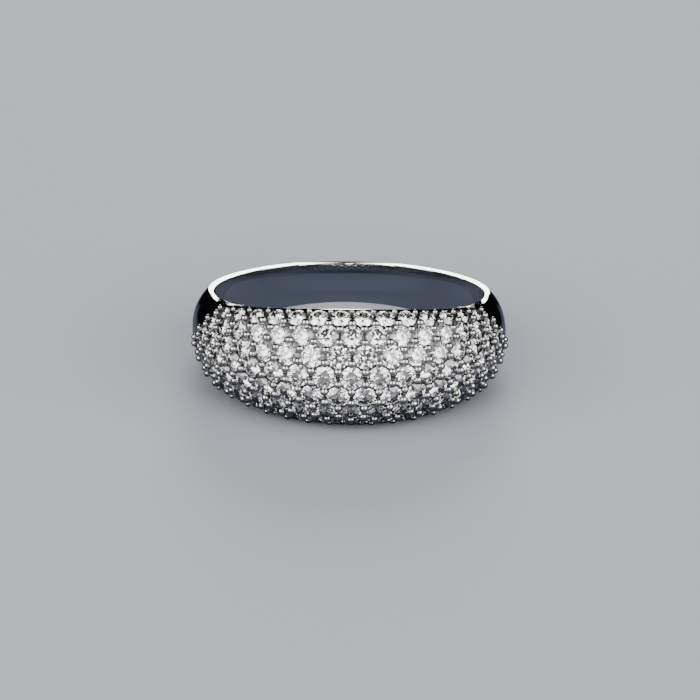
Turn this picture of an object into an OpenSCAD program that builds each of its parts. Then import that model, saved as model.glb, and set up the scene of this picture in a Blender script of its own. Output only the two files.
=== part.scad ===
/* [Finger bore and shank] */
// Diameter of the finger bore
bore_d = 17.3; // [15:0.1:20]
// Thickness of the shank wall at the sides, measured out from the bore
shank_wall = 1.38; // [1.3:0.02:1.44]
// How far the shank's rear arc is moved forward of the bore's centre
shank_shift = 0.45; // [0.35:0.05:0.55]
// How far the shank's front arcs are moved forward of the bore's centre
shoulder_shift = 1.25; // [1.15:0.05:1.35]
// Radius of the domed cross-section of the shank
section_r = 2.6; // [2.55:0.05:2.8]
// Angle by which the two halves of the shoulders open towards the head
shoulder_open = 8.5; // [8:0.25:9]

/* [Domed head] */
// Radius of the head's outline, seen along the bore
head_outline = 10.13; // [10.1:0.01:10.18]
// How far the centre of the head's outline lies in front of the bore's centre
head_shift = 1.32; // [1.28:0.01:1.36]
// Radius of the domed cross-section of the head
field_r = 4.05; // [4:0.05:4.1]
// Place of the tip of the set field, in front of the bore's centre
field_tip = 3.45; // [3.4:0.05:3.6]
// Slant of the set field's edge, as millimetres forward for each millimetre up
field_slant = 0.69; // [0.66:0.01:0.72]

/* [Side profile] */
// Half width of the band where the two side arcs meet
waist_half = 2.44; // [2.38:0.02:2.5]
// How far in front of the bore's centre the two side arcs meet
waist_y = 2.7; // [2.6:0.1:2.8]
// Fall of the side edge for each millimetre backwards, where the arcs meet
waist_slope = 0.136; // [0.13:0.002:0.142]
// Radius of the side edge's hollow sweep in front
sweep_front = 41; // [40:1:44]
// Radius of the side edge's hollow sweep behind
sweep_rear = 147; // [140:1:155]

/* [Stones] */
// Angle from stone to stone along a row at the middle of the head
pitch_angle = 9.8; // [9.75:0.05:9.95]
// How fast that angle closes up towards the ends, for the cube of the stone's number
pitch_closing = 0.012; // [0.0114:0.0002:0.0124]
// Distance from row to row at the middle of the head
row_gap = 1.355; // [1.33:0.005:1.38]
// Stones on each side of the middle one in the centre row
centre_reach = 8; // [6:1:8]
// Clear space between neighbouring stones
stone_gap = 0.16; // [0.14:0.01:0.2]
// Depth of the girdle under the metal surface
girdle_depth = 0.05; // [0.03:0.01:0.08]

/* [Grains] */
// Radius of the largest raised grain
grain_r = 0.18; // [0.14:0.01:0.2]

/* [Hidden] */
$fn = 96;
silver = "silver";
ice = "aliceblue";

bore_r = bore_d / 2;
outline_r = bore_r + shank_wall;
ring_r = outline_r - section_r;
head_ring = head_outline - field_r;
shoulder_lap = 0.4;
row_count = 7;
side_row = (row_count - 1) / 2;

// Seats: clearance round a stone, radius of the drilled hole, and how far a cutter reaches past each surface
seat_clear = 0.03;
hole_r = 0.25;
hole_past = 0.12;
seat_rise = 0.06;
rim_wall = 0.13;

// Grains: metal between a grain and the nearest seat, and spacing of a pair as a share of a grain's radius
grain_wall = 0.01;
pair_share = 1.1;

// A grain's root under the surface, then its neck, head and flat as shares of its radius
grain_root = 0.3;
grain_neck = 0.3;
grain_rise_share = 0.85;
grain_flat = 0.5;

// A round brilliant, as shares of its girdle radius
table_share = 0.56;
crown_share = 0.30;
girdle_share = 0.06;
pavilion_share = 0.86;
facets = 8;

// Side profile: centres of the two arcs, on the normal where they meet
normal_len = sqrt(1 + waist_slope * waist_slope);
function sweep_centre(r) = [-waist_y + r * waist_slope / normal_len, waist_half + r / normal_len];
function sweep_half(y, r) = sweep_centre(r)[1] - sqrt(r * r - pow(y - sweep_centre(r)[0], 2));
function side_half(y) = sweep_half(y, y < -waist_y ? sweep_front : sweep_rear);

// Rest: the plane under the lower front and rear edges, just inside their tips, so that they bear on flats
front_edge_y = -8.95;
rear_edge_y = 9.2;
rest_flat = 0.04;
rest_tilt = atan((side_half(front_edge_y) - side_half(rear_edge_y)) / (rear_edge_y - front_edge_y));
function rest_half(y) = side_half(front_edge_y) - (y - front_edge_y) * tan(rest_tilt) - rest_flat;
rest_drop = rest_half(0) * cos(rest_tilt);

// The part's own frame: the lower edges on z = 0, and the outline centred on the origin
proud = grain_r * grain_rise_share;
front_reach = (head_ring + head_shift) * cos(rest_tilt) + field_r + proud;
rear_reach = (ring_r - shank_shift) * cos(rest_tilt) + section_r;
module rest_pose() {
    translate([0, (front_reach - rear_reach) / 2, rest_drop]) rotate([-rest_tilt, 0, 0]) children();
}

// Set field: a row's place is its share of the way from the middle line to the side edge
function edge_y(turn, rise) = -head_shift - (head_ring + field_r * cos(rise)) * cos(turn);
function edge_rise(turn, low = 5, high = 88, steps = 26) =
    steps == 0 ? low :
    let (rise = (low + high) / 2)
    field_r * sin(rise) < side_half(edge_y(turn, rise)) ?
        edge_rise(turn, rise, high, steps - 1) : edge_rise(turn, low, rise, steps - 1);
function turn_at(n) = pitch_angle * n - pitch_closing * pow(n, 3);
function width_share(n) = edge_rise(abs(turn_at(n))) / edge_rise(0);
function rise_at(row, n) = row * row_gap * width_share(n) / (PI * field_r / 180);
function row_reach(row) = centre_reach - abs(row) / 2;

// Spacing about one place in the field, along the row and from row to row
function along(row, n) =
    (turn_at(n + 0.5) - turn_at(n - 0.5)) * PI / 180 * (head_ring + field_r * cos(rise_at(row, n)));
function across(n) = row_gap * width_share(n);
function rim_room(row, n) =
    (edge_rise(abs(turn_at(n))) - abs(rise_at(row, n))) * PI / 180 * field_r - rim_wall;
function stone_r(row, n) = min(
    (min(along(row, n), norm([along(row, n) / 2, across(n)])) - stone_gap) / 2,
    rim_room(row, n));

// Grains: a pair between two stones of a row, each as far from the stone above as from those two
function beside(row, n) = along(row, n) / 2;
function round_off(row, n) = (pow(across(n), 2) - pow(beside(row, n), 2)) / (2 * across(n));
function seat_r(row, n) = max(stone_r(row, n - 0.5), stone_r(row, n + 0.5),
    abs(row) < side_row ? stone_r(row + sign(row), n) : 0,
    stone_r(row - sign(row), n)) + seat_clear + grain_wall;
function grain_size(row, n) = min(grain_r,
    norm([beside(row, n), max(0, round_off(row, n))]) - seat_r(row, n),
    (across(n) - seat_r(row, n)) / (1 + pair_share));
function grain_off(row, n) = max(round_off(row, n), pair_share * grain_size(row, n));
function grain_rise(row, n, side) = rise_at(row, n) + side * grain_off(row, n) / (PI * field_r / 180);

// Depth from the field's surface, straight inwards, at which a seat's hole comes out in the bore
function bore_depth(turn, rise) =
    let (reach = sqrt(pow(bore_r, 2) - pow(head_shift * sin(turn), 2)) - head_shift * cos(turn))
    field_r - (reach - head_ring) / cos(rise);

// Carries a child from the origin, where +Z is the outward normal, to a place on the field
module on_field(turn, rise) {
    translate([0, -head_shift, 0]) rotate([0, 0, turn]) translate([0, -head_ring, 0])
        rotate([90 - rise, 0, 0]) translate([0, 0, field_r]) children();
}
module each_stone() {
    for (row = [-side_row : side_row])
        for (n = [-row_reach(row) : row_reach(row)]) {
            $stone_r = stone_r(row, n);
            $hole_end = bore_depth(turn_at(n), rise_at(row, n)) + hole_past;
            on_field(turn_at(n), rise_at(row, n)) children();
        }
}

// One grain: a round stud with a coned and flattened head, rooted in the metal
module grain(r) {
    rotate_extrude($fn = 24) polygon([
        [0, -grain_root], [r, -grain_root], [r, grain_neck * r], [grain_flat * r, grain_rise_share * r],
        [0, grain_rise_share * r]]);
}
module each_grain() {
    for (row = [-side_row : side_row])
        for (n = [-row_reach(row) - 0.5 : row_reach(row) + 0.5], side = [-1, 1])
            on_field(turn_at(n), grain_rise(row, n, side)) grain(grain_size(row, n));
}

// Cutter for one seat: room for the crown and girdle, a cone for the pavilion, and a hole right through
module seat() {
    wall = $stone_r + seat_clear;
    floor_z = -girdle_depth - girdle_share * $stone_r / 2 - seat_clear;
    cone_end = floor_z - (wall - hole_r) * pavilion_share;
    rotate_extrude($fn = 32) polygon([
        [0, seat_rise], [wall, seat_rise], [wall, floor_z],
        [hole_r, cone_end], [hole_r, -$hole_end], [0, -$hole_end]]);
}

// One round brilliant: table, 8 star and 8 main crown facets, girdle, and 8 pavilion facets
module brilliant(r) {
    step = 360 / facets;
    girdle = r * girdle_share / 2;
    points = concat(
        [for (k = [0 : facets - 1]) let (a = (k + 0.5) * step)
            [r * table_share * cos(a), r * table_share * sin(a), girdle + r * crown_share]],
        [for (z = [girdle, -girdle], k = [0 : facets - 1]) [r * cos(k * step), r * sin(k * step), z]],
        [[0, 0, -girdle - r * pavilion_share]]);
    faces = concat(
        [[for (k = [facets - 1 : -1 : 0]) k]],
        [for (k = [0 : facets - 1]) let (m = (k + 1) % facets) each [
            [k, facets + m, facets + k],
            [k, m, facets + m],
            [facets + k, facets + m, 2 * facets + m, 2 * facets + k],
            [2 * facets + k, 2 * facets + m, 3 * facets]]]);
    polyhedron(points, faces);
}

// Outer form of the shank: a rear half ring, a straight stretch, and front half rings that open up and down
module half_ring(centre_r, r, turn) {
    rotate([0, 0, turn]) rotate_extrude(angle = 180) translate([centre_r, 0]) circle(r);
}
module shank_form() {
    translate([0, -shank_shift, 0]) half_ring(ring_r, section_r, 0);
    for (side = [-1, 1])
        translate([side * ring_r, -shank_shift, 0]) rotate([90, 0, 0])
            linear_extrude(shoulder_shift - shank_shift) circle(section_r);
    for (up = [0, 1]) mirror([0, 0, up]) intersection() {
        translate([0, -shoulder_shift, 0]) rotate([-shoulder_open, 0, 0]) half_ring(ring_r, section_r, 180);
        across_body() polygon([
            [outline_r, 0], [outline_r, head_outline],
            [-field_tip - shoulder_lap - field_slant * head_outline, head_outline],
            [-field_tip - shoulder_lap, 0]]);
    }
}
module field_form() {
    intersection() {
        translate([0, -head_shift, 0]) half_ring(head_ring, field_r, 180);
        across_body() polygon([
            [-field_tip, 0], [-field_tip - field_slant * field_r, field_r],
            [-2 * outline_r, field_r], [-2 * outline_r, -field_r],
            [-field_tip - field_slant * field_r, -field_r]]);
    }
}

// Turns a drawing of the side view, y across and z up, into a body that runs through the ring
module across_body() {
    rotate([90, 0, 90]) linear_extrude(4 * outline_r, center = true) children();
}
module side_view() {
    difference() {
        polygon([for (p = [[-1, 1], [1, 1], [1, -1], [-1, -1]])
            let (y = p[0] * 2 * outline_r) [y, p[1] * rest_half(y)]]);
        for (side = [0, 1]) mirror([0, side]) {
            intersection() {
                translate(sweep_centre(sweep_front)) circle(sweep_front, $fn = 720);
                translate([-waist_y - 3 * outline_r, 0]) square([3 * outline_r, 3 * outline_r]);
            }
            intersection() {
                translate(sweep_centre(sweep_rear)) circle(sweep_rear, $fn = 2400);
                translate([-waist_y, 0]) square([3 * outline_r, 3 * outline_r]);
            }
        }
    }
}
module band() {
    color(silver) rest_pose() {
        difference() {
            union() {
                intersection() {
                    union() {
                        shank_form();
                        field_form();
                    }
                    across_body() side_view();
                }
                each_grain();
            }
            cylinder(h = 4 * field_r, r = bore_r, center = true);
            each_stone() seat();
        }
    }
}
module pave_stones() {
    color(ice) rest_pose() each_stone() translate([0, 0, -girdle_depth]) brilliant($stone_r);
}
band();
pave_stones();
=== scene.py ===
"""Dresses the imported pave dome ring: its polished band, raised grains and cut stones, in a plain studio."""

from math import atan, copysign, cos, hypot, pi, sin, sqrt, tan
from random import Random

import bmesh
import bpy
from mathutils import Matrix, Vector


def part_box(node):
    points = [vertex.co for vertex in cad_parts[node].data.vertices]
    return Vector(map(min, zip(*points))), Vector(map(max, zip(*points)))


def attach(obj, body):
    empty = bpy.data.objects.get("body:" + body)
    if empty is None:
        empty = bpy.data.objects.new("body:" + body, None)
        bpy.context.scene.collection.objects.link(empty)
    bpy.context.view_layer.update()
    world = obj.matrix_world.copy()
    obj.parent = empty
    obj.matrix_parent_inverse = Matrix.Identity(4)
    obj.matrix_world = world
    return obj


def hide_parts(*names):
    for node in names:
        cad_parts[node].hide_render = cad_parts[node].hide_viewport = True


bl_info = {
    "name": "Pave Dome Ring",
    "version": (1, 0, 0),
    "blender": (4, 5, 0),
    "location": "View3D > Sidebar > Ring",
    "description": "Dresses the packed pave dome ring and sets up its studio",
    "category": "Object",
}

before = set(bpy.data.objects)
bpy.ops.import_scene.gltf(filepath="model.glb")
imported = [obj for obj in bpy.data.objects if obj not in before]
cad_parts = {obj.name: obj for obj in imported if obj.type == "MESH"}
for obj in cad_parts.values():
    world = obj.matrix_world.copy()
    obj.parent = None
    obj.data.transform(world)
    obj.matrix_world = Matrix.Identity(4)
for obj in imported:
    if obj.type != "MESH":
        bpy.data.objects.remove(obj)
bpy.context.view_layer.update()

MM = 0.001
DEG = pi / 180
UP = Vector((0, 0, 1))


# Colours

def linear(hex_colour):
    """The linear RGB that a shader socket takes, from an sRGB hex colour."""
    parts = [int(hex_colour[i:i + 2], 16) / 255 for i in (0, 2, 4)]
    return tuple(c / 12.92 if c <= 0.04045 else ((c + 0.055) / 1.055) ** 2.4 for c in parts)


# Sizes and colours that a user would change

class RingSizes(bpy.types.PropertyGroup):
    bore_radius: bpy.props.FloatProperty(
        name="Bore radius", description="Radius of the finger bore", default=8.65 * MM, unit="LENGTH")
    section_radius: bpy.props.FloatProperty(
        name="Section radius", description="Radius of the shank's domed section", default=2.6 * MM, unit="LENGTH")
    ring_radius: bpy.props.FloatProperty(
        name="Ring radius", description="Radius that the shank's section is swept on",
        default=7.43 * MM, unit="LENGTH")
    shank_shift: bpy.props.FloatProperty(
        name="Shank shift", description="How far the rear sweep is centred in front of the bore",
        default=0.45 * MM, unit="LENGTH")
    shoulder_shift: bpy.props.FloatProperty(
        name="Shoulder shift", description="How far the shoulders' sweep is centred in front of the bore",
        default=1.25 * MM, unit="LENGTH")
    shoulder_open: bpy.props.FloatProperty(
        name="Shoulder opening", description="Angle by which each half of the shoulders opens towards the head",
        default=8.5 * DEG, subtype="ANGLE")
    field_radius: bpy.props.FloatProperty(
        name="Field radius", description="Radius of the head's domed section", default=4.05 * MM, unit="LENGTH")
    head_ring: bpy.props.FloatProperty(
        name="Head ring radius", description="Radius that the head's section is swept on",
        default=6.08 * MM, unit="LENGTH")
    head_shift: bpy.props.FloatProperty(
        name="Head shift", description="How far the head's sweep is centred in front of the bore",
        default=1.32 * MM, unit="LENGTH")
    field_tip: bpy.props.FloatProperty(
        name="Field tip", description="Place of the set field's tip, in front of the bore's centre",
        default=3.45 * MM, unit="LENGTH")
    field_slant: bpy.props.FloatProperty(
        name="Field slant", description="Slant of the set field's edge, forward for each part up", default=0.69)
    waist_half: bpy.props.FloatProperty(
        name="Waist half width", description="Half width of the band where its two side sweeps meet",
        default=2.44 * MM, unit="LENGTH")
    waist_place: bpy.props.FloatProperty(
        name="Waist place", description="How far in front of the bore's centre the side sweeps meet",
        default=2.7 * MM, unit="LENGTH")
    waist_slope: bpy.props.FloatProperty(
        name="Waist slope", description="Fall of the side edge backwards where the sweeps meet", default=0.136)
    sweep_front: bpy.props.FloatProperty(
        name="Front sweep", description="Radius of the side's hollow sweep in front", default=41 * MM, unit="LENGTH")
    sweep_rear: bpy.props.FloatProperty(
        name="Rear sweep", description="Radius of the side's hollow sweep behind", default=147 * MM, unit="LENGTH")
    rim_round: bpy.props.FloatProperty(
        name="Rim rounding", description="Radius that polishing leaves on the rims",
        default=0.05 * MM, unit="LENGTH")
    flare: bpy.props.FloatProperty(
        name="Comfort flare", description="How far the bore opens out at the rims", default=0.06 * MM, unit="LENGTH")
    flare_depth: bpy.props.FloatProperty(
        name="Flare depth", description="How deep in the bore the flare begins", default=0.7 * MM, unit="LENGTH")


class StoneSizes(bpy.types.PropertyGroup):
    pitch: bpy.props.FloatProperty(
        name="Stone pitch", description="Angle from stone to stone at the middle of the head",
        default=9.8 * DEG, subtype="ANGLE")
    pitch_closing: bpy.props.FloatProperty(
        name="Pitch closing", default=0.012, precision=5,
        description="How fast the pitch closes up, in degrees for the cube of the stone's number")
    row_gap: bpy.props.FloatProperty(
        name="Row gap", description="Distance from row to row at the middle of the head",
        default=1.355 * MM, unit="LENGTH")
    reach: bpy.props.IntProperty(
        name="Reach", description="Stones on each side of the middle one in the centre row", default=8)
    side_rows: bpy.props.IntProperty(
        name="Side rows", description="Rows of stones on each side of the centre row", default=3)
    gap: bpy.props.FloatProperty(
        name="Stone gap", description="Clear space between neighbouring stones", default=0.10 * MM, unit="LENGTH")
    girdle_depth: bpy.props.FloatProperty(
        name="Girdle depth", description="Depth of the girdle under the metal surface",
        default=0.05 * MM, unit="LENGTH")
    grain_radius: bpy.props.FloatProperty(
        name="Grain radius", description="Radius of the largest grain", default=0.285 * MM, unit="LENGTH")
    hole_radius: bpy.props.FloatProperty(
        name="Hole radius", description="Radius of the hole drilled behind each stone",
        default=0.25 * MM, unit="LENGTH")


class Finishes(bpy.types.PropertyGroup):
    silver: bpy.props.FloatVectorProperty(
        name="Silver", description="Colour of the rhodium-plated silver", subtype="COLOR",
        default=linear("E6E3E1"), min=0, max=1)
    # Painted shade: this dark silver stands for the shade in the recesses between the stones, and in part for the
    # darker reflections on the grains
    painted_shade_silver: bpy.props.FloatVectorProperty(
        name="Cut silver", description="Colour of the cut metal in the seats and between the grains",
        subtype="COLOR", default=linear("58585A"), min=0, max=1)
    polish: bpy.props.FloatProperty(
        name="Polish", description="Roughness of the polished metal", default=0.05, min=0, max=1)
    stone: bpy.props.FloatVectorProperty(
        name="Stone", description="Colour of the cut stones", subtype="COLOR",
        default=linear("FFFCFA"), min=0, max=1)
    stone_ior: bpy.props.FloatProperty(
        name="Stone IOR", description="Refractive index of cubic zirconia", default=2.16, min=1, max=3)
    board: bpy.props.FloatVectorProperty(
        name="Board", description="Colour of the studio's floor", subtype="COLOR", default=linear("808389"),
        min=0, max=1)
    slate: bpy.props.FloatVectorProperty(
        name="Slate", description="Colour of the dark card that the metal reflects", subtype="COLOR",
        default=linear("3A404C"), min=0, max=1)


class Studio(bpy.types.PropertyGroup):
    distance: bpy.props.FloatProperty(
        name="Camera distance", description="Distance from the camera to the ring", default=595.05 * MM,
        unit="LENGTH")
    elevation: bpy.props.FloatProperty(
        name="Camera elevation", description="Height angle of the camera over the bore's mid plane",
        default=17.889 * DEG, subtype="ANGLE")
    azimuth: bpy.props.FloatProperty(
        name="Camera azimuth", description="How far the camera stands to the side of the front",
        default=-1.228 * DEG, subtype="ANGLE")
    roll: bpy.props.FloatProperty(
        name="Camera roll", description="Turn of the camera about its own axis", default=0.861 * DEG,
        subtype="ANGLE")
    lens: bpy.props.FloatProperty(
        name="Lens", description="Focal length for a 36 mm sensor, in millimetres", default=479.7)
    target: bpy.props.FloatVectorProperty(
        name="Target", description="Point in the ring's own frame at the middle of the picture",
        default=(0.017 * MM, -4.0 * MM, -0.509 * MM), unit="LENGTH", precision=6)


def sizes():
    return bpy.context.scene.ring_sizes


def stones():
    return bpy.context.scene.stone_sizes


def finishes():
    return bpy.context.scene.ring_finishes


def studio():
    return bpy.context.scene.ring_studio


# The ring's own frame has the bore's axis as Z and the dome in front, towards -Y

def sweep_centre(radius):
    """Centre (y, z) of a side sweep, on the normal where the two sweeps meet."""
    s = sizes()
    slant = hypot(1, s.waist_slope)
    return -s.waist_place + radius * s.waist_slope / slant, s.waist_half + radius / slant


def side_half(y):
    """Half height of the band at y, before its rims are rounded."""
    s = sizes()
    radius = s.sweep_front if y < -s.waist_place else s.sweep_rear
    cy, cz = sweep_centre(radius)
    return cz - sqrt(radius ** 2 - (y - cy) ** 2)


# Where the lower rim touches the table in front and behind, and how much of its tips is filed flat
FRONT_EDGE_Y = -8.95 * MM
REAR_EDGE_Y = 9.2 * MM
REST_FLAT = 0.04 * MM


def rest_tilt():
    return atan((side_half(FRONT_EDGE_Y) - side_half(REAR_EDGE_Y)) / (REAR_EDGE_Y - FRONT_EDGE_Y))


def rest_half(y):
    return side_half(FRONT_EDGE_Y) - (y - FRONT_EDGE_Y) * tan(rest_tilt()) - REST_FLAT


def rest_pose():
    """Lays the ring on its lower edges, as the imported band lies."""
    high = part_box("band")[1]
    tilt = rest_tilt()
    s = sizes()
    rear_reach = (s.ring_radius - s.shank_shift) * cos(tilt) + s.section_radius
    return Matrix.Translation((0, high.y - rear_reach, rest_half(0) * cos(tilt))) @ Matrix.Rotation(-tilt, 4, "X")


# The set field: turn is an angle about the head's sweep, rise an angle round its section, both in radians

# Least metal between an outer stone and the rim
RIM_MARGIN = 0.13 * MM
# Least distance of a grain from its row's line, as a share of its radius
GRAIN_OFF_ROW = 0.95
# How far a grain may reach over the stones beside it
GRAIN_OVERLAP = 0.12 * MM
# Size of the grains along the rims, as a share of the others
RIM_GRAIN_SHARE = 0.74


def edge_rise(turn):
    """Rise at which the field's surface meets the side edge."""
    s = sizes()
    low, high = 5 * DEG, 88 * DEG
    for _ in range(26):
        rise = (low + high) / 2
        y = -s.head_shift - (s.head_ring + s.field_radius * cos(rise)) * cos(turn)
        if s.field_radius * sin(rise) < side_half(y):
            low = rise
        else:
            high = rise
    return low


def turn_at(n):
    return stones().pitch * n - stones().pitch_closing * DEG * n ** 3


class Spacing:
    """Spacing of stones and grains about one place in the field."""

    def __init__(self, row, n):
        s, t = sizes(), stones()
        self.edge = edge_rise(abs(turn_at(n)))
        self.across = t.row_gap * self.edge / edge_rise(0)
        self.turn = turn_at(n)
        self.rise = row * self.across / s.field_radius
        reach = s.head_ring + s.field_radius * cos(self.rise)
        self.along = (turn_at(n + 0.5) - turn_at(n - 0.5)) * reach
        to_rim = (self.edge - abs(self.rise)) * s.field_radius - RIM_MARGIN
        nearest = min(self.along, hypot(self.along / 2, self.across))
        self.stone = min((nearest - t.gap) / 2, to_rim)


def field_place(turn, rise, height=0.0):
    """Matrix that carries a thing from the origin, +Z outwards, to a place on the field."""
    s = sizes()
    return (Matrix.Translation((0, -s.head_shift, 0)) @ Matrix.Rotation(turn, 4, "Z")
            @ Matrix.Translation((0, -s.head_ring, 0)) @ Matrix.Rotation(pi / 2 - rise, 4, "X")
            @ Matrix.Translation((0, 0, s.field_radius + height)))


def row_places(extra=0.0):
    """Each row with its stone numbers, or with the half numbers between and beyond them."""
    t = stones()
    for row in range(-t.side_rows, t.side_rows + 1):
        reach = t.reach - abs(row) / 2 + extra
        for k in range(int(2 * reach) + 1):
            yield row, k - reach


def grain_places():
    """(turn, rise, radius) of each grain: a pair between two stones of a row, and at each row's ends."""
    t = stones()
    for row, n in row_places(0.5):
        here = Spacing(row, n)
        beside = here.along / 2
        seat = max(Spacing(row, n - 0.5).stone, Spacing(row, n + 0.5).stone)
        off = (here.across ** 2 - beside ** 2) / (2 * here.across)
        size = t.grain_radius * min(1, (here.across / t.row_gap) ** 0.5)
        off = max(off, GRAIN_OFF_ROW * size)
        room = hypot(beside, off) - seat
        size = min(size, room + GRAIN_OVERLAP)
        for side in (-1, 1):
            share = RIM_GRAIN_SHARE if side * row == t.side_rows else 1
            yield here.turn, here.rise + side * off / sizes().field_radius, size * share


def bore_depth(turn, rise):
    """Depth from the field's surface, straight inwards, at which a hole comes out in the bore."""
    s = sizes()
    reach = sqrt(s.bore_radius ** 2 - (s.head_shift * sin(turn)) ** 2) - s.head_shift * cos(turn)
    return s.field_radius - (reach - s.head_ring) / cos(rise)


# Modelling helpers

def deselect_all():
    bpy.ops.object.select_all(action="DESELECT")


def take_up(piece):
    """Makes one object the only selected and active one."""
    deselect_all()
    piece.select_set(True)
    bpy.context.view_layer.objects.active = piece
    return piece


def named(name):
    """Names the object just added, and puts its place into its mesh."""
    piece = bpy.context.active_object
    piece.name = piece.data.name = name
    bpy.ops.object.transform_apply(location=True, rotation=True, scale=True)
    return piece


def edit(piece):
    take_up(piece)
    bpy.ops.object.mode_set(mode="EDIT")


def done():
    bpy.ops.object.mode_set(mode="OBJECT")


def select_in_edit(piece, kind, test):
    """Selects only the vertices, edges or faces that pass a test."""
    bpy.ops.mesh.select_mode(type={"verts": "VERT", "edges": "EDGE", "faces": "FACE"}[kind])
    bpy.ops.mesh.select_all(action="DESELECT")
    mesh = bmesh.from_edit_mesh(piece.data)
    for part in getattr(mesh, kind):
        part.select = test(part)
    mesh.select_flush_mode()
    bmesh.update_edit_mesh(piece.data)


def cut(point, normal):
    """Cuts off of the piece in edit mode what lies on the normal's side of a plane, and closes the cut."""
    bpy.ops.mesh.select_all(action="SELECT")
    bpy.ops.mesh.bisect(plane_co=point, plane_no=normal, clear_outer=True, use_fill=True, threshold=1e-7)


def close_up():
    """Merges doubles and turns all faces outwards."""
    bpy.ops.mesh.select_all(action="SELECT")
    bpy.ops.mesh.remove_doubles(threshold=1e-6)
    bpy.ops.mesh.normals_make_consistent(inside=False)


def combine(piece, other, operation):
    """Joins to, cuts from or keeps of a piece what another solid covers, and removes the other."""
    take_up(piece)
    step = piece.modifiers.new(operation.title(), "BOOLEAN")
    step.operation = operation
    step.object = other
    step.solver = "EXACT"
    bpy.ops.object.modifier_apply(modifier=step.name)
    bpy.data.objects.remove(other)


def copies(source, matrices, name):
    """One object made of copies of a source, each with its own mesh, at each matrix. The source is removed."""
    made = []
    for matrix in matrices:
        copy = source.copy()
        copy.data = source.data.copy()
        copy.data.transform(matrix)
        bpy.context.scene.collection.objects.link(copy)
        made.append(copy)
    deselect_all()
    for copy in made:
        copy.select_set(True)
    bpy.context.view_layer.objects.active = made[0]
    bpy.ops.object.join()
    whole = bpy.context.active_object
    whole.name = whole.data.name = name
    bpy.data.objects.remove(source)
    return whole


# The band

SWEEP_STEPS = 144
SECTION_POINTS = 120
STRAIGHT_STEPS = 8
BORE_POINTS = 288
BORE_ROWS = 96
# Over what length the shoulders begin to open, and how far they run on inside the head
SOFT_START = 0.8 * MM
SHOULDER_LAP = 0.4 * MM
# How near a point lies to a rim, or to the set field's slanting edge, to count as part of it
RIM_REACH = 0.15 * MM
SLANT_REACH = 0.02 * MM
# The sharpest edges are rounded, and blunter ones are shaded smooth
ROUNDED_FROM = 35 * DEG
SMOOTH_UP_TO = 32 * DEG
# How far a drill goes on past the bore's surface, and the clear space round a girdle
DRILL_PAST = 0.12 * MM
SEAT_CLEAR = 0.015 * MM
# A seat's straight wall above and below the girdle, its cone and its foot, for a girdle radius of 1
SEAT_WALL = 0.12
SEAT_CONE = 0.62
SEAT_FOOT = 0.28
# What stays polished, free of the satin finish and the painted shade, next to the set field's edge, the bore and the
# rims
EDGE_POLISHED = 0.03 * MM
BORE_POLISHED = 0.1 * MM
RIM_POLISHED = 0.06 * MM
# A grain's depth in the metal for a radius of 1, the height of its middle, and its share of the satin finish and of
# the painted shade
GRAIN_ROOT = 0.45
GRAIN_LIFT = 0.07 * MM
GRAIN_SATIN_AND_SHADE = 0.45


def add_section(name, radius, x, y):
    """A section's circle beside the bore, standing in the plane of x and z."""
    bpy.ops.mesh.primitive_circle_add(
        vertices=SECTION_POINTS, radius=radius, location=(x, y, 0), rotation=(pi / 2, 0, 0))
    return named(name)


def spin_half(y):
    """Sweeps what is selected half a turn, anticlockwise from above: spin counts its angle the other way."""
    bpy.ops.mesh.spin(steps=SWEEP_STEPS, angle=-pi, center=(0, y, 0), axis=(0, 0, 1))


def draw_along(distance):
    for _ in range(STRAIGHT_STEPS):
        bpy.ops.mesh.extrude_region_move(TRANSFORM_OT_translate={"value": (0, distance / STRAIGHT_STEPS, 0)})


def open_shoulders(shank):
    """Parts the section's upper and lower halves, more and more towards the head, from a soft start."""
    s = sizes()
    mesh = bmesh.from_edit_mesh(shank.data)
    for v in mesh.verts:
        ahead = -s.shoulder_shift - v.co.y
        if abs(v.co.z) > 1e-7:
            v.co.z += copysign(tan(s.shoulder_open) * (ahead + hypot(ahead, SOFT_START)) / 2, v.co.z)
    bmesh.update_edit_mesh(shank.data)


def keep_ahead(piece, tip):
    """Keeps what lies in front of two planes that meet at a tip and slant away from it above and below."""
    edit(piece)
    for up in (1, -1):
        cut((0, -tip, 0), Vector((0, 1, up * sizes().field_slant)).normalized())
    close_up()
    done()


def shank_body():
    """The plain section swept round behind, along both sides and round in front, up to just inside the head."""
    s = sizes()
    shank = add_section("ring_band", s.section_radius, s.ring_radius, -s.shank_shift)
    edit(shank)
    bpy.ops.mesh.select_all(action="SELECT")
    spin_half(-s.shank_shift)
    draw_along(s.shank_shift - s.shoulder_shift)
    spin_half(-s.shoulder_shift)
    draw_along(s.shoulder_shift - s.shank_shift)
    close_up()
    open_shoulders(shank)
    done()
    bpy.ops.mesh.primitive_cube_add(size=60 * MM)
    head_room = named("head_room")
    keep_ahead(head_room, s.field_tip + SHOULDER_LAP)
    combine(shank, head_room, "DIFFERENCE")
    return shank


def field_body():
    """The wider section of the set field, swept round in front and cut to its two slanting edges."""
    s = sizes()
    field = add_section("set_field", s.field_radius, -s.head_ring, -s.head_shift)
    edit(field)
    bpy.ops.mesh.select_all(action="SELECT")
    spin_half(-s.head_shift)
    bpy.ops.mesh.select_all(action="SELECT")
    bpy.ops.mesh.fill_holes(sides=0)
    done()
    keep_ahead(field, s.field_tip)
    return field


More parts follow.
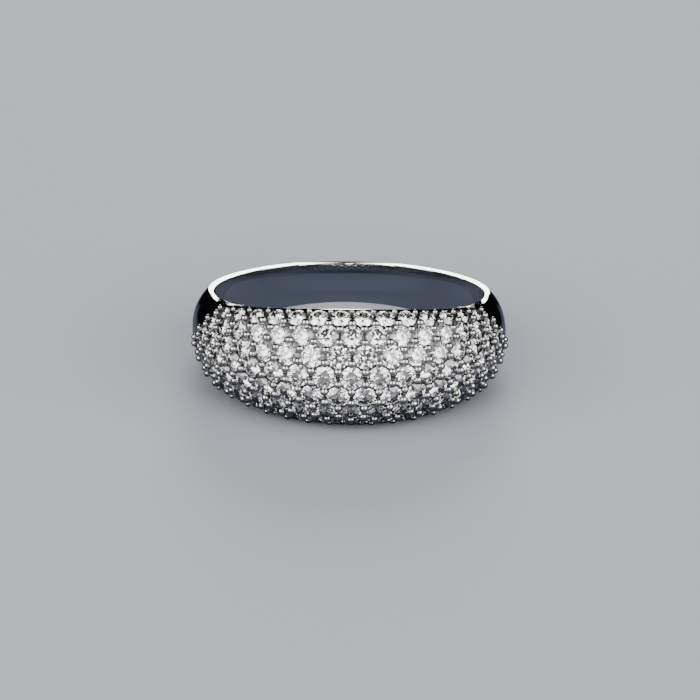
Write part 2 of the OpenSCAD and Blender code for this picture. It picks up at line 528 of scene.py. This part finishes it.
def side_cutter():
    """What the two hollow sweeps take off above the band, mirrored below it."""
    s = sizes()
    reach = 24 * MM
    top = 9 * MM
    bpy.ops.mesh.primitive_plane_add(
        size=1, location=(0, -s.waist_place, (s.waist_half + top) / 2), rotation=(pi / 2, 0, 0))
    bpy.context.active_object.scale = (reach, top - s.waist_half, 1)
    cutter = named("side_sweeps")
    edit(cutter)
    bpy.ops.mesh.select_all(action="SELECT")
    bpy.ops.mesh.delete(type="ONLY_FACE")
    for radius, span, steps in ((s.sweep_front, -9 * MM, 48), (s.sweep_rear, 13 * MM, 64)):
        cy, cz = sweep_centre(radius)
        select_in_edit(cutter, "verts", lambda v: abs(v.co.y + s.waist_place) < 1e-7)
        bpy.ops.mesh.spin(steps=steps, angle=-span / radius, center=(0, cy, cz), axis=(1, 0, 0))
    bpy.ops.mesh.select_all(action="SELECT")
    bpy.ops.mesh.fill_holes(sides=0)
    close_up()
    done()
    mirror = cutter.modifiers.new("Both sides", "MIRROR")
    mirror.use_axis = (False, False, True)
    bpy.ops.object.modifier_apply(modifier=mirror.name)
    return cutter


def bore_cutter():
    """The bore's cylinder, in short rows so that its ends can be flared."""
    half = 4.4 * MM
    bpy.ops.mesh.primitive_circle_add(
        vertices=BORE_POINTS, radius=sizes().bore_radius, fill_type="NGON", location=(0, 0, -half))
    cutter = named("bore_cutter")
    edit(cutter)
    bpy.ops.mesh.select_all(action="SELECT")
    for _ in range(BORE_ROWS):
        bpy.ops.mesh.extrude_region_move(TRANSFORM_OT_translate={"value": (0, 0, 2 * half / BORE_ROWS)})
    close_up()
    done()
    return cutter


def file_flats(band):
    """Takes the tips of the lower and upper edges down to the planes that the ring can rest on."""
    edit(band)
    tilt = rest_tilt()
    for up in (1, -1):
        cut((0, 0, up * rest_half(0)), Vector((0, sin(tilt), up * cos(tilt))))
    done()


def on_bore(co):
    return abs(hypot(co.x, co.y) - sizes().bore_radius) < 2e-6


def near_rim(co):
    return abs(co.z) > side_half(co.y) - RIM_REACH


def near_slant(co):
    s = sizes()
    return abs(co.y + s.field_tip + s.field_slant * abs(co.z)) < SLANT_REACH


def flare_bore(band):
    """Opens the bore out a little at both rims, as a comfort fit is."""
    s = sizes()
    edit(band)
    select_in_edit(band, "edges", lambda e: all(on_bore(v.co) and near_rim(v.co) for v in e.verts)
                   and any(not all(on_bore(v.co) for v in f.verts) for f in e.link_faces))
    grow = 1 + s.flare / s.bore_radius
    bpy.ops.transform.resize(
        value=(grow, grow, 1), center_override=(0, 0, 0), use_proportional_edit=True,
        proportional_edit_falloff="SHARP", proportional_size=s.flare_depth, use_proportional_connected=True)
    done()


def round_rims(band):
    """Rounds the rims and the slanting edges of the set field, and leaves the seats sharp."""
    edit(band)
    select_in_edit(band, "edges", lambda e: e.calc_face_angle(0) > ROUNDED_FROM
                   and (all(near_rim(v.co) for v in e.verts) or all(near_slant(v.co) for v in e.verts)))
    bpy.ops.mesh.bevel(offset=sizes().rim_round, segments=3, profile=0.5, clamp_overlap=True)
    done()


def seat_cutters():
    """The drilled holes, and the seats that stones sit down into, as two joined cutters."""
    bpy.ops.mesh.primitive_cylinder_add(vertices=16, radius=1, depth=1, location=(0, 0, -0.5))
    drill = named("drill")
    bpy.ops.mesh.primitive_cylinder_add(vertices=28, radius=1, depth=2 * SEAT_WALL)
    cup = named("cup")
    edit(cup)
    select_in_edit(cup, "faces", lambda f: f.normal.z < -0.9)
    bpy.ops.mesh.extrude_region_move(TRANSFORM_OT_translate={"value": (0, 0, -SEAT_CONE)})
    bpy.ops.transform.resize(value=(SEAT_FOOT, SEAT_FOOT, 1), center_override=(0, 0, 0))
    close_up()
    done()
    hole = stones().hole_radius
    holes, cups = [], []
    for row, n in row_places():
        here = Spacing(row, n)
        place = field_place(here.turn, here.rise)
        length = bore_depth(here.turn, here.rise) + DRILL_PAST
        holes.append(place @ Matrix.Diagonal((hole, hole, length, 1)))
        wall = here.stone + SEAT_CLEAR
        cups.append(place @ Matrix.Diagonal((wall, wall, wall, 1)))
    return copies(drill, holes, "drills"), copies(cup, cups, "cups")


def mark_satin_and_shade(band):
    """Marks the seats and what the graver leaves of the dome's surface between them, for a satin finish and for
    painted shade: their colour is darkened for the shade that falls in the recesses between the stones.
    """
    s = sizes()
    mark = band.data.attributes.new("cut_field", "FLOAT", "FACE")
    for face in band.data.polygons:
        x, y, z = face.center
        ahead = -s.field_tip - s.field_slant * abs(z) - y
        mark.data[face.index].value = float(
            ahead > EDGE_POLISHED and hypot(x, y) > s.bore_radius + BORE_POLISHED
            and abs(z) < side_half(y) - RIM_POLISHED)


def mark_grains(beads):
    """Gives the grains part of the satin finish and of the painted shade: the beading tool burnishes them, short of
    the shank's polish, and their colour is darkened as painted shade for the darker reflections they show.
    """
    mark = beads.data.attributes.new("cut_field", "FLOAT", "FACE")
    for face in mark.data:
        face.value = GRAIN_SATIN_AND_SHADE


def grains(rng):
    """All the grains: domed beads, each a little uneven, sunk into the metal."""
    bpy.ops.mesh.primitive_uv_sphere_add(segments=14, ring_count=10, radius=1)
    grain = named("grain")
    edit(grain)
    cut((0, 0, -GRAIN_ROOT), (0, 0, -1))
    close_up()
    done()
    places = []
    for turn, rise, size in grain_places():
        size *= rng.uniform(0.94, 1.05)
        lean = Matrix.Rotation(rng.uniform(-6, 6) * DEG, 4, "X") @ Matrix.Rotation(rng.uniform(0, 2 * pi), 4, "Z")
        height = rng.uniform(0.92, 1.04)
        places.append(field_place(turn, rise, GRAIN_LIFT) @ lean @ Matrix.Diagonal((size, size, size * height, 1)))
    return copies(grain, places, "grains")


def build_band():
    band = shank_body()
    combine(band, field_body(), "UNION")
    combine(band, side_cutter(), "DIFFERENCE")
    file_flats(band)
    combine(band, bore_cutter(), "DIFFERENCE")
    drills, cups = seat_cutters()
    combine(band, drills, "DIFFERENCE")
    combine(band, cups, "DIFFERENCE")
    flare_bore(band)
    round_rims(band)
    take_up(band)
    bpy.ops.object.shade_smooth_by_angle(angle=SMOOTH_UP_TO)
    mark_satin_and_shade(band)
    beads = grains(Random(7))
    file_flats(beads)
    mark_grains(beads)
    take_up(beads)
    bpy.ops.object.shade_smooth()
    take_up(band)
    beads.select_set(True)
    bpy.ops.object.join()
    return lay_down(band)


def lay_down(piece):
    """Turns a piece from the ring's own frame to the way the ring rests."""
    take_up(piece)
    piece.matrix_world = rest_pose()
    bpy.ops.object.transform_apply(location=True, rotation=True, scale=True)
    return piece


# The stones

# The round brilliant's crown: bezel angle, table width, and how far the stars reach from table to girdle
BEZEL_ANGLE = 34.5 * DEG
TABLE_SHARE = 0.57
STAR_SHARE = 0.5
# Its pavilion: main angle, and how far the lower girdle facets reach from girdle to point
MAIN_ANGLE = 40.75 * DEG
LOWER_SHARE = 0.77
# Half the girdle's thickness for a girdle radius of 1
GIRDLE_HALF = 0.025
EIGHTH = pi / 4
# Spread of the tilt that setting by hand leaves, in degrees
SETTING_TILT = 1.2


def cut_ring(points, first, step, slope, radius, height, up):
    """Cuts equal facets round the stone, each on a plane of one slope through (radius, height)."""
    for k in range(points):
        a = first + k * step
        out = Vector((cos(a), sin(a), 0))
        normal = out * sin(slope) + Vector((0, 0, up * cos(slope)))
        cut(out * radius + UP * height, normal)


def brilliant():
    """A round brilliant of girdle radius 1, cut from a blank by its 57 facets."""
    crown = (1 - TABLE_SHARE) * tan(BEZEL_ANGLE)
    half = cos(EIGHTH / 2)
    quarter = cos(EIGHTH / 4)
    star_out = TABLE_SHARE * half + STAR_SHARE * (1 - TABLE_SHARE * half)
    star_drop = tan(BEZEL_ANGLE) * (1 - star_out * half)
    star_angle = atan((crown - star_drop) / (star_out - TABLE_SHARE * half))
    upper_angle = atan(star_drop / (quarter * (1 - star_out)))
    lower_in = 1 - LOWER_SHARE
    lower_drop = tan(MAIN_ANGLE) * (1 - lower_in * half)
    lower_angle = atan(lower_drop / (quarter * (1 - lower_in)))

    bpy.ops.mesh.primitive_cylinder_add(vertices=16, radius=1, depth=2.4)
    stone = named("brilliant")
    edit(stone)
    cut((0, 0, GIRDLE_HALF + crown), (0, 0, 1))
    for first, count, slope, radius, height in (
            (0, 8, BEZEL_ANGLE, 1, GIRDLE_HALF),
            (EIGHTH / 2, 8, star_angle, TABLE_SHARE * half, GIRDLE_HALF + crown),
            (EIGHTH / 4, 16, upper_angle, quarter, GIRDLE_HALF)):
        cut_ring(count, first, 2 * pi / count, slope, radius, height, 1)
    for first, count, slope, radius in ((0, 8, MAIN_ANGLE, 1), (EIGHTH / 4, 16, lower_angle, quarter)):
        cut_ring(count, first, 2 * pi / count, slope, radius, -GIRDLE_HALF, -1)
    close_up()
    done()
    return stone


def build_stones():
    rng = Random(23)
    t = stones()
    places = []
    for row, n in row_places():
        here = Spacing(row, n)
        lean = (Matrix.Rotation(rng.gauss(0, SETTING_TILT) * DEG, 4, "X")
                @ Matrix.Rotation(rng.gauss(0, SETTING_TILT) * DEG, 4, "Y")
                @ Matrix.Rotation(rng.uniform(0, EIGHTH), 4, "Z"))
        places.append(field_place(here.turn, here.rise, -t.girdle_depth) @ lean
                      @ Matrix.Diagonal((here.stone, here.stone, here.stone, 1)))
    field = copies(brilliant(), places, "pave_brilliants")
    take_up(field)
    bpy.ops.object.shade_flat()
    return lay_down(field)


# Materials

# What the cut finish adds to the polished metal's roughness
SATIN_ROUGHNESS = 0.22


def new_material(name):
    material = bpy.data.materials.new(name)
    material.use_nodes = True
    material.node_tree.nodes.clear()
    return material


def node(material, kind, settings=None, links=None):
    """Adds a shader node, sets its properties and sockets, and links its inputs."""
    made = material.node_tree.nodes.new(kind)
    for key, value in (settings or {}).items():
        if isinstance(key, str) and hasattr(made, key):
            setattr(made, key, value)
        else:
            made.inputs[key].default_value = value
    for key, socket in (links or {}).items():
        material.node_tree.links.new(socket, made.inputs[key])
    return made


def rhodium_silver():
    """Sterling silver under rhodium, buffed to a mirror: bright and neutral, with hair-fine buffing marks."""
    look = finishes()
    m = new_material("rhodium_plated_silver")
    place = node(m, "ShaderNodeTexCoord").outputs["Object"]
    # Buffing marks are 5 to 10 microns apart, drawn at 60 so that they show
    marks = node(m, "ShaderNodeTexNoise", {"Scale": 1 / (0.06 * MM), "Detail": 2.0, "Roughness": 0.6},
                 {"Vector": place})
    # Handling leaves soft patches about a millimetre wide
    patches = node(m, "ShaderNodeTexNoise", {"Scale": 1 / (0.9 * MM), "Detail": 3.0}, {"Vector": place})
    rough = node(m, "ShaderNodeMapRange", {"From Min": 0.3, "From Max": 0.7, "To Min": look.polish * 0.6,
                                           "To Max": look.polish * 1.5}, {"Value": patches.outputs["Fac"]})
    bump = node(m, "ShaderNodeBump", {"Strength": 0.03, "Distance": 0.01 * MM}, {"Height": marks.outputs["Fac"]})
    # No buff reaches the seats and the metal between the grains: they stay satin, as the graver left them. Their
    # colour is also darkened towards the cut silver as painted shade, for the shade in the recesses between the
    # stones; the grains get part of this painted shade.
    cut_field = node(m, "ShaderNodeAttribute", {"attribute_name": "cut_field"}).outputs["Fac"]
    tone = node(m, "ShaderNodeMix", {"data_type": "RGBA", 6: (*look.silver, 1), 7: (*look.painted_shade_silver, 1)},
                {"Factor": cut_field})
    duller = node(m, "ShaderNodeMath", {"operation": "MULTIPLY_ADD", 1: SATIN_ROUGHNESS},
                  {0: cut_field, 2: rough.outputs["Result"]})
    metal = node(m, "ShaderNodeBsdfPrincipled", {"Metallic": 1.0},
                 {"Base Color": tone.outputs[2], "Roughness": duller.outputs[0], "Normal": bump.outputs["Normal"]})
    node(m, "ShaderNodeOutputMaterial", links={"Surface": metal.outputs["BSDF"]})
    return m


def cubic_zirconia():
    """Cut and polished cubic zirconia: clear, colourless and very bright, for its high index."""
    look = finishes()
    m = new_material("cubic_zirconia")
    stone = node(m, "ShaderNodeBsdfPrincipled", {
        "Base Color": (*look.stone, 1), "Roughness": 0.0, "IOR": look.stone_ior, "Transmission Weight": 1.0})
    node(m, "ShaderNodeOutputMaterial", links={"Surface": stone.outputs["BSDF"]})
    return m


def matt_board():
    """Pale matt card: a fine fibre grain and no shine."""
    look = finishes()
    m = new_material("matt_card")
    place = node(m, "ShaderNodeTexCoord").outputs["Object"]
    fibre = node(m, "ShaderNodeTexNoise", {"Scale": 1 / (0.5 * MM), "Detail": 4.0, "Roughness": 0.65},
                 {"Vector": place})
    bump = node(m, "ShaderNodeBump", {"Strength": 0.25, "Distance": 0.05 * MM}, {"Height": fibre.outputs["Fac"]})
    card = node(m, "ShaderNodeBsdfPrincipled", {"Base Color": (*look.board, 1), "Roughness": 0.85},
                {"Normal": bump.outputs["Normal"]})
    node(m, "ShaderNodeOutputMaterial", links={"Surface": card.outputs["BSDF"]})
    return m


def slate_card():
    """Matt slate-grey card under the ring, for what the polished metal reflects. It fades out at its rim."""
    look = finishes()
    m = new_material("slate_card")
    place = node(m, "ShaderNodeTexCoord").outputs["Object"]
    away = node(m, "ShaderNodeVectorMath", {"operation": "LENGTH"}, {"Vector": place})
    fade = node(m, "ShaderNodeMapRange", {"From Min": 13 * MM, "From Max": 20 * MM, "To Min": 1.0, "To Max": 0.05},
                {"Value": away.outputs["Value"]})
    colour = node(m, "ShaderNodeVectorMath", {"operation": "SCALE", 0: look.slate},
                  {"Scale": fade.outputs["Result"]})
    card = node(m, "ShaderNodeBsdfPrincipled", {"Roughness": 0.9, "Specular IOR Level": 0.0},
                {"Base Color": colour.outputs["Vector"]})
    node(m, "ShaderNodeOutputMaterial", links={"Surface": card.outputs["BSDF"]})
    return m


def clad(piece, material):
    piece.data.materials.clear()
    piece.data.materials.append(material)


# The studio

SENSOR_WIDTH = 36


def add_camera():
    """The camera, placed about the ring's own frame and carried to the way the ring rests."""
    st = studio()
    back = Vector((sin(st.azimuth) * cos(st.elevation), -cos(st.azimuth) * cos(st.elevation), sin(st.elevation)))
    right = Vector((cos(st.azimuth), sin(st.azimuth), 0))
    up = back.cross(right)
    right_rolled = cos(st.roll) * right + sin(st.roll) * up
    up_rolled = cos(st.roll) * up - sin(st.roll) * right
    turn = Matrix((right_rolled, up_rolled, back)).transposed().to_4x4()
    spot = Vector(st.target) + back * st.distance
    bpy.ops.object.camera_add()
    camera = bpy.context.active_object
    camera.name = "camera"
    camera.matrix_world = rest_pose() @ Matrix.Translation(spot) @ turn
    camera.data.lens = st.lens
    camera.data.sensor_width = SENSOR_WIDTH
    bpy.context.scene.camera = camera


def add_softbox(name, shape, place, aim, width, height, power, shows=True):
    """A softbox, in millimetres and watts, turned to a point. One that doesn't show only lights the floor."""
    bpy.ops.object.light_add(type="AREA")
    lamp = bpy.context.active_object
    lamp.name = name
    lamp.data.shape = shape
    lamp.data.size = width * MM
    lamp.data.size_y = height * MM
    lamp.data.energy = power
    lamp.visible_camera = False
    lamp.visible_glossy = lamp.visible_transmission = shows
    spot, target = Vector(place) * MM, Vector(aim) * MM
    lamp.location = spot
    lamp.rotation_euler = (target - spot).to_track_quat("-Z", "Y").to_euler()


SLATE_RADIUS = 18 * MM


def add_floor():
    """The pale floor, and a slate disc over it that shows in the metal and the stones alone."""
    bpy.ops.mesh.primitive_grid_add(x_subdivisions=8, y_subdivisions=8, size=2400 * MM)
    floor = named("studio_floor")
    floor.data.materials.append(matt_board())
    floor.visible_glossy = floor.visible_transmission = False
    bpy.ops.mesh.primitive_circle_add(
        vertices=96, radius=SLATE_RADIUS, fill_type="NGON", location=(0, 3 * MM, 0.01 * MM))
    card = named("slate_disc")
    card.data.materials.append(slate_card())
    card.visible_camera = card.visible_diffuse = card.visible_shadow = False


def set_world():
    """A dark room behind the ring and a soft grey glow in front of it, which weakens from 6 to 24 degrees up."""
    world = bpy.data.worlds.new("studio_room")
    world.use_nodes = True
    world.node_tree.nodes.clear()
    way = node(world, "ShaderNodeSeparateXYZ",
               links={"Vector": node(world, "ShaderNodeTexCoord").outputs["Generated"]})
    fade = node(world, "ShaderNodeMapRange", {"From Min": -0.3, "From Max": 0.15, "To Min": 0.45, "To Max": 0.004},
                {"Value": way.outputs["Y"]})
    sink = node(world, "ShaderNodeMapRange", {"From Min": 0.1, "From Max": 0.4, "To Min": 1.0, "To Max": 0.3},
                {"Value": way.outputs["Z"]})
    share = node(world, "ShaderNodeMath", {"operation": "MULTIPLY"},
                 {0: fade.outputs["Result"], 1: sink.outputs["Result"]})
    glow = node(world, "ShaderNodeBackground", {"Color": (*linear("F2F4FF"), 1)}, {"Strength": share.outputs[0]})
    node(world, "ShaderNodeOutputWorld", links={"Surface": glow.outputs["Background"]})
    bpy.context.scene.world = world


# Operators

class RING_OT_band(bpy.types.Operator):
    """Model the polished band with its set field, seats and grains"""

    bl_idname = "ring.build_band"
    bl_label = "Build Band"

    def execute(self, context):
        band = build_band()
        clad(band, rhodium_silver())
        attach(band, "root")
        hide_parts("band")
        return {"FINISHED"}


class RING_OT_stones(bpy.types.Operator):
    """Cut one round brilliant and set its copies in the field"""

    bl_idname = "ring.set_stones"
    bl_label = "Set Stones"

    def execute(self, context):
        field = build_stones()
        clad(field, cubic_zirconia())
        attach(field, "root")
        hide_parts("pave_stones")
        return {"FINISHED"}


class RING_OT_studio(bpy.types.Operator):
    """Lay the floor and place the lights and the camera"""

    bl_idname = "ring.set_studio"
    bl_label = "Set Studio"

    def execute(self, context):
        add_floor()
        add_camera()
        for side, name in ((-1, "left_softbox"), (1, "right_softbox")):
            add_softbox(name, "ELLIPSE", (side * 270, -190, 235), (0, 0, 3), width=510, height=420, power=2.8)
        add_softbox("back_card", "RECTANGLE", (0, 420, 45), (0, 0, 5), width=90, height=210, power=0.5)
        add_softbox("back_glow", "RECTANGLE", (30, 400, 190), (0, 0, 0),
                    width=200, height=120, power=3, shows=False)
        add_softbox("overhead_glow", "RECTANGLE", (0, -60, 520), (0, 0, 0),
                    width=500, height=500, power=2, shows=False)
        set_world()
        return {"FINISHED"}


class RING_PT_panel(bpy.types.Panel):
    bl_idname = "RING_PT_panel"
    bl_label = "Pave Dome Ring"
    bl_space_type = "VIEW_3D"
    bl_region_type = "UI"
    bl_category = "Ring"

    def draw(self, context):
        for group in GROUPS:
            owner = getattr(context.scene, group)
            for name in owner.__annotations__:
                self.layout.prop(owner, name)
        for step in STEPS:
            self.layout.operator(step.bl_idname)


GROUPS = {"ring_sizes": RingSizes, "stone_sizes": StoneSizes, "ring_finishes": Finishes, "ring_studio": Studio}
STEPS = (RING_OT_band, RING_OT_stones, RING_OT_studio)


def register():
    for group in (*GROUPS.values(), *STEPS, RING_PT_panel):
        bpy.utils.register_class(group)
    for name, group in GROUPS.items():
        setattr(bpy.types.Scene, name, bpy.props.PointerProperty(type=group))


def unregister():
    for name in GROUPS:
        delattr(bpy.types.Scene, name)
    for group in reversed((*GROUPS.values(), *STEPS, RING_PT_panel)):
        bpy.utils.unregister_class(group)


def main():
    register()
    bpy.ops.ring.build_band()
    bpy.ops.ring.set_stones()
    bpy.ops.ring.set_studio()


if __name__ == "__main__":
    main()
